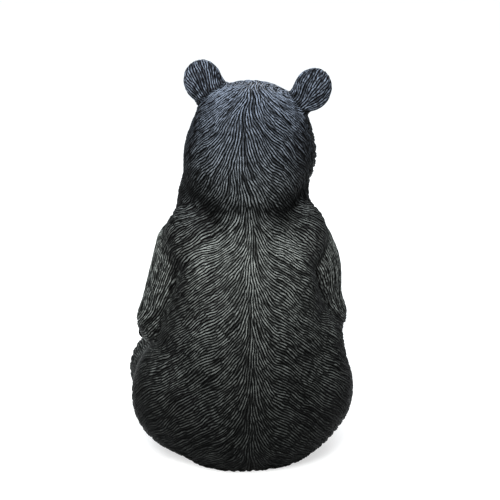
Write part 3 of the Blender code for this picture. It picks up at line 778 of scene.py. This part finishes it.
class Paint:
    """A material's node tree, with short ways to add nodes."""

    def __init__(self, name):
        self.material = bpy.data.materials.new(name)
        self.material.use_nodes = True
        self.nodes = self.material.node_tree.nodes
        self.shader = self.nodes["Principled BSDF"]

    def link(self, source, target):
        self.material.node_tree.links.new(source, target)

    def put(self, socket, value):
        """Sets a socket, by a value or by another node's socket."""
        if isinstance(value, bpy.types.NodeSocket):
            self.link(value, socket)
        else:
            socket.default_value = value

    def attribute(self, name, output="Fac"):
        node = self.nodes.new("ShaderNodeAttribute")
        node.attribute_name = name
        return node.outputs[output]

    def ripples(self, width):
        """The same ripples that the mesh is carved by."""
        node = self.nodes.new("ShaderNodeTexGabor")
        node.gabor_type = "3D"
        self.link(self.attribute("hair_place", "Vector"), node.inputs["Vector"])
        self.link(self.attribute("hair_across", "Vector"), node.inputs["Orientation 3D"])
        node.inputs["Scale"].default_value = 1.0 / (ABREAST * width)
        node.inputs["Frequency"].default_value = ABREAST
        node.inputs["Anisotropy"].default_value = 1.0
        return node.outputs["Value"]

    def noise(self, scale, detail):
        coordinates = self.nodes.new("ShaderNodeTexCoord").outputs["Object"]
        node = self.nodes.new("ShaderNodeTexNoise")
        self.link(coordinates, node.inputs["Vector"])
        node.inputs["Scale"].default_value = scale
        node.inputs["Detail"].default_value = detail
        node.inputs["Roughness"].default_value = NOISE_ROUGHNESS
        return node.outputs["Fac"]

    def spread(self, value, low, high, to_low=0.0, to_high=1.0):
        """Stretches the range low..high of a value over another range, and clips it."""
        node = self.nodes.new("ShaderNodeMapRange")
        node.interpolation_type = "SMOOTHSTEP"
        self.put(node.inputs["Value"], value)
        node.inputs["From Min"].default_value = low
        node.inputs["From Max"].default_value = high
        node.inputs["To Min"].default_value = to_low
        node.inputs["To Max"].default_value = to_high
        return node.outputs["Result"]

    def mottled(self, mottle):
        noise = self.noise(mottle.scale, mottle.detail)
        return self.spread(noise, mottle.low, mottle.high, mottle.least, mottle.most)

    def maths(self, operation, first, second):
        node = self.nodes.new("ShaderNodeMath")
        node.operation = operation
        self.put(node.inputs[0], first)
        self.put(node.inputs[1], second)
        return node.outputs[0]

    def mix(self, share, first, second):
        node = self.nodes.new("ShaderNodeMix")
        node.data_type = "RGBA"
        self.put(node.inputs["Factor"], share)
        self.put(node.inputs[6], first)
        self.put(node.inputs[7], second)
        return node.outputs[2]

    def bump(self, height, depth):
        node = self.nodes.new("ShaderNodeBump")
        node.inputs["Strength"].default_value = 1.0
        node.inputs["Distance"].default_value = depth
        self.link(height, node.inputs["Height"])
        self.link(node.outputs["Normal"], self.shader.inputs["Normal"])

    def set(self, **values):
        for name, value in values.items():
            self.put(self.shader.inputs[name.replace("_", " ").title().replace("Ior", "IOR")], value)


# Grey on the crests and black in the grooves: dry-brushed paint, and also a painted highlight on the crests
# and painted shade in the grooves.
BLACK = {"groove": (0.0016, 0.0016, 0.0016, 1.0), "crest": (0.255, 0.270, 0.255, 1.0)}
# Bluer copies of both, for the painted reflection of the cool sky light towards the head.
SKY_TINTED = {"groove": (0.0018, 0.0019, 0.0022, 1.0), "crest": (0.178, 0.207, 0.264, 1.0)}
BROWN = {"groove": (0.018, 0.011, 0.007, 1.0), "crest": (0.30, 0.20, 0.13, 1.0)}
LOADED = (0.3, 1.3)  # from where the grey share, painted light included, starts to fill the strokes to where it fills them in full
ON_LOCKS = (0.0, 0.8, 0.24, 1.0)  # from a lock's foot to near its crest, and the paint kept there: less grey at the foot, as a dry brush leaves it and as painted shade between locks
BROKEN = Mottle(330.0, 1.0, 0.36, 0.58, 0.25)  # the strokes of short hair
BLOTCHED = Mottle(260.0, 2.0, 0.38, 0.62, 0.45)
SPECKLED = Mottle(1100.0, 1.0, 0.25, 0.75, 0.65)
COAT_ROUGHNESS = Mottle(160.0, 2.0, 0.3, 0.7, 0.42, 0.58)
COAT_SHINE = 0.04
WORN = 0.6  # how dark the darkest of a smooth paint is, as against its colour


def coat_paint():
    """Black resin fur, brushed over with a lighter paint that catches on the crests.

    Towards the head it is bluer, a painted reflection of the cool sky light. The grey on the crests is
    also a painted highlight and the black of the grooves also painted shade, and how much grey there
    is carries more painted light and shade. The muzzle is brown instead, and runs into the black round it.
    """
    paint = Paint("coat")
    # Painted reflection of the cool sky light: bluer towards the head.
    cool, muzzle = paint.attribute("hair_sky_tint"), paint.attribute("hair_muzzle")
    groove, crest = (
        paint.mix(muzzle, paint.mix(cool, BLACK[part], SKY_TINTED[part]), BROWN[part])
        for part in ("groove", "crest")
    )
    ripples = paint.ripples(STRAND_WIDTH)
    # The grey share with its painted light and shade; where it is full, the grey reaches further down each
    # stroke.
    grey_and_light = paint.attribute("hair_grey_and_light")
    loaded = paint.maths("MULTIPLY", paint.spread(grey_and_light, *LOADED), FILLED)
    share = paint.spread(paint.maths("ADD", ripples, loaded), *PAINTED)
    broken = paint.mottled(BROKEN)
    short = paint.attribute("hair_short")
    layers = [
        grey_and_light,
        paint.spread(paint.attribute("hair_lock"), *ON_LOCKS),
        paint.mottled(BLOTCHED),
        paint.mottled(SPECKLED),
        paint.maths("MAXIMUM", broken, paint.maths("SUBTRACT", 1.0, short)),
    ]
    for layer in layers:
        share = paint.maths("MULTIPLY", share, layer)
    paint.set(base_color=paint.mix(share, groove, crest))
    paint.set(roughness=paint.mottled(COAT_ROUGHNESS), specular_ior_level=COAT_SHINE)
    strand = paint.spread(ripples, STRAND_FOOT, STRAND_TOP)
    paint.bump(paint.maths("MULTIPLY", strand, paint.attribute("hair_depth")), PAINT_RELIEF)
    return paint.material


def smooth_paint(name, colour, roughness, shine=0.2, grain=1200.0, grain_depth=0.00003):
    paint = Paint(name)
    darker = tuple(WORN * channel for channel in colour[:3]) + (1.0,)
    paint.set(base_color=paint.mix(paint.noise(220.0, 4.0), darker, colour))
    paint.set(roughness=roughness, specular_ior_level=shine)
    paint.bump(paint.noise(grain, 3.0), grain_depth)
    return paint.material


COAT = 0
NOSE_SKIN = 1
EYE_GLOSS = 2
CLAW_HORN = 3
PAD_SKIN = 4
PAINT_EDGE = 0.0012  # how far each reaches beyond its region, as a share of the height


def paints():
    """The materials in the order of the numbers above."""
    return [
        coat_paint(),
        smooth_paint("nose skin", (0.009, 0.009, 0.010, 1.0), 0.32, shine=0.35),
        smooth_paint("eye gloss", (0.012, 0.007, 0.004, 1.0), 0.06, shine=0.5, grain_depth=0.0),
        smooth_paint("claw horn", (0.040, 0.036, 0.031, 1.0), 0.34),
        smooth_paint("pad skin", (0.018, 0.016, 0.015, 1.0), 0.55, grain=500.0, grain_depth=0.0002),
    ]


def paint_bear(mesh):
    """Gives each face its material."""
    found = regions(read_points(mesh) / HEIGHT)
    kind = np.full(len(mesh.vertices), COAT)
    for name, number in (("pads", PAD_SKIN), ("claws", CLAW_HORN), ("nose", NOSE_SKIN), ("eye", EYE_GLOSS)):
        kind[found[name] - found["bear"] < PAINT_EDGE] = number
    mesh.polygons.foreach_set("material_index", kind[read_triangles(mesh)].max(1).astype(np.int32))
    for material in paints():
        mesh.materials.append(material)


def make_bear():
    bear = blocked_out("bear_casting")
    drop_specks(bear.data)
    settle(bear.data, SETTLING_PASSES, SETTLING_RELAX)
    for _ in range(DIVISIONS):
        divide(bear)
        settle(bear.data, FINE_PASSES, FINE_RELAX)
    carve_fur(bear.data)
    thin_out(bear, TRIANGLES)
    cut_base(bear)
    bear.data.materials.clear()
    paint_bear(bear.data)
    fit_to_frame(bear.data)
    bear.data.shade_smooth()
    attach(bear, "root")
    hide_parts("bear")


# The studio.

FRAME_PIXELS = 500
METRES_PER_PIXEL = 0.000753  # at the bear, in the photograph's frame
CAMERA_DISTANCE = 0.95
CAMERA_TURN = 6.0  # degrees from straight behind, towards the bear's left
CAMERA_RISE = 15.0  # degrees above level
BEAR_LEFT_OF_CENTRE = 6  # pixels
BEAR_BELOW_CENTRE = 10.5  # pixels
AMBIENT = 0.14  # strength of the even light from all round
FLOOR_GLOW = 0.62  # what brings the lit floor up to white
FLOOR_COLOUR = (0.50, 0.50, 0.50, 1.0)
FLOOR_WIDTH = 30.0
WHITE = (1.0, 1.0, 1.0, 1.0)
WARM = (1.0, 0.99, 0.96)
SKY_COLOUR = (0.82, 0.92, 1.0)
SKY_STRENGTH = 2.6
SKY_WIDTH = 70.0  # degrees, as seen from the floor
SKY_LEAN = (-18.0, 12.0, 0.0)  # degrees, towards the back and the left of the bear
SENSOR_WIDTH = 36.0  # millimetres


def add_camera():
    turn, rise = math.radians(CAMERA_TURN), math.radians(CAMERA_RISE)
    back = Vector((math.sin(turn) * math.cos(rise), math.cos(turn) * math.cos(rise), math.sin(rise)))
    rotation = back.to_track_quat("Z", "Y")
    right = rotation @ Vector((1.0, 0.0, 0.0))
    up = rotation @ Vector((0.0, 1.0, 0.0))
    aim = Vector((0.0, 0.0, 0.5 * HEIGHT))
    aim += METRES_PER_PIXEL * (BEAR_LEFT_OF_CENTRE * right + BEAR_BELOW_CENTRE * up)
    data = bpy.data.cameras.new("camera")
    data.sensor_width = SENSOR_WIDTH
    data.lens = SENSOR_WIDTH * CAMERA_DISTANCE / (FRAME_PIXELS * METRES_PER_PIXEL)
    camera = bpy.data.objects.new("camera", data)
    camera.location = aim + CAMERA_DISTANCE * back
    camera.rotation_euler = rotation.to_euler()
    bpy.context.scene.collection.objects.link(camera)
    bpy.context.scene.camera = camera


def add_softbox(name, place, size, power, colour):
    data = bpy.data.lights.new(name, "AREA")
    data.shape = "SQUARE"
    data.size = size
    data.energy = power
    data.color = colour
    light = bpy.data.objects.new(name, data)
    light.location = place
    towards = Vector((0.0, 0.0, 0.5 * HEIGHT)) - Vector(place)
    light.rotation_euler = towards.to_track_quat("-Z", "Y").to_euler()
    bpy.context.scene.collection.objects.link(light)


def add_sky():
    """Soft, cool light from overhead, the same all over the floor."""
    data = bpy.data.lights.new("sky", "SUN")
    data.angle = math.radians(SKY_WIDTH)
    data.energy = SKY_STRENGTH
    data.color = SKY_COLOUR
    light = bpy.data.objects.new("sky", data)
    light.rotation_euler = [math.radians(angle) for angle in SKY_LEAN]
    bpy.context.scene.collection.objects.link(light)


def add_floor():
    bpy.ops.mesh.primitive_plane_add(size=FLOOR_WIDTH)
    floor = bpy.context.object
    floor.name = "floor"
    paint = Paint("floor white")
    paint.set(base_color=FLOOR_COLOUR, roughness=0.9)
    seen = paint.nodes.new("ShaderNodeLightPath").outputs["Is Camera Ray"]
    paint.shader.inputs["Emission Color"].default_value = WHITE
    paint.link(paint.maths("MULTIPLY", seen, FLOOR_GLOW), paint.shader.inputs["Emission Strength"])
    floor.data.materials.append(paint.material)


def add_world():
    """White behind the bear, and a weaker, even light on it."""
    world = bpy.data.worlds.new("studio")
    world.use_nodes = True
    nodes, links = world.node_tree.nodes, world.node_tree.links
    background = nodes["Background"]
    background.inputs["Color"].default_value = WHITE
    path = nodes.new("ShaderNodeLightPath")
    strength = nodes.new("ShaderNodeMapRange")
    strength.inputs["To Min"].default_value = AMBIENT
    strength.inputs["To Max"].default_value = 1.0
    links.new(path.outputs["Is Camera Ray"], strength.inputs["Value"])
    links.new(strength.outputs["Result"], background.inputs["Strength"])
    bpy.context.scene.world = world
    bpy.context.scene.view_settings.view_transform = "Standard"


def set_up_studio():
    add_floor()
    add_world()
    add_sky()
    add_softbox("behind", place=(0.30, 0.88, 0.85), size=0.45, power=14.5, colour=WARM)
    add_softbox("front", place=(-0.30, -0.80, 0.90), size=0.80, power=12.0, colour=WHITE[:3])
    add_camera()


def main():
    make_bear()
    set_up_studio()


main()
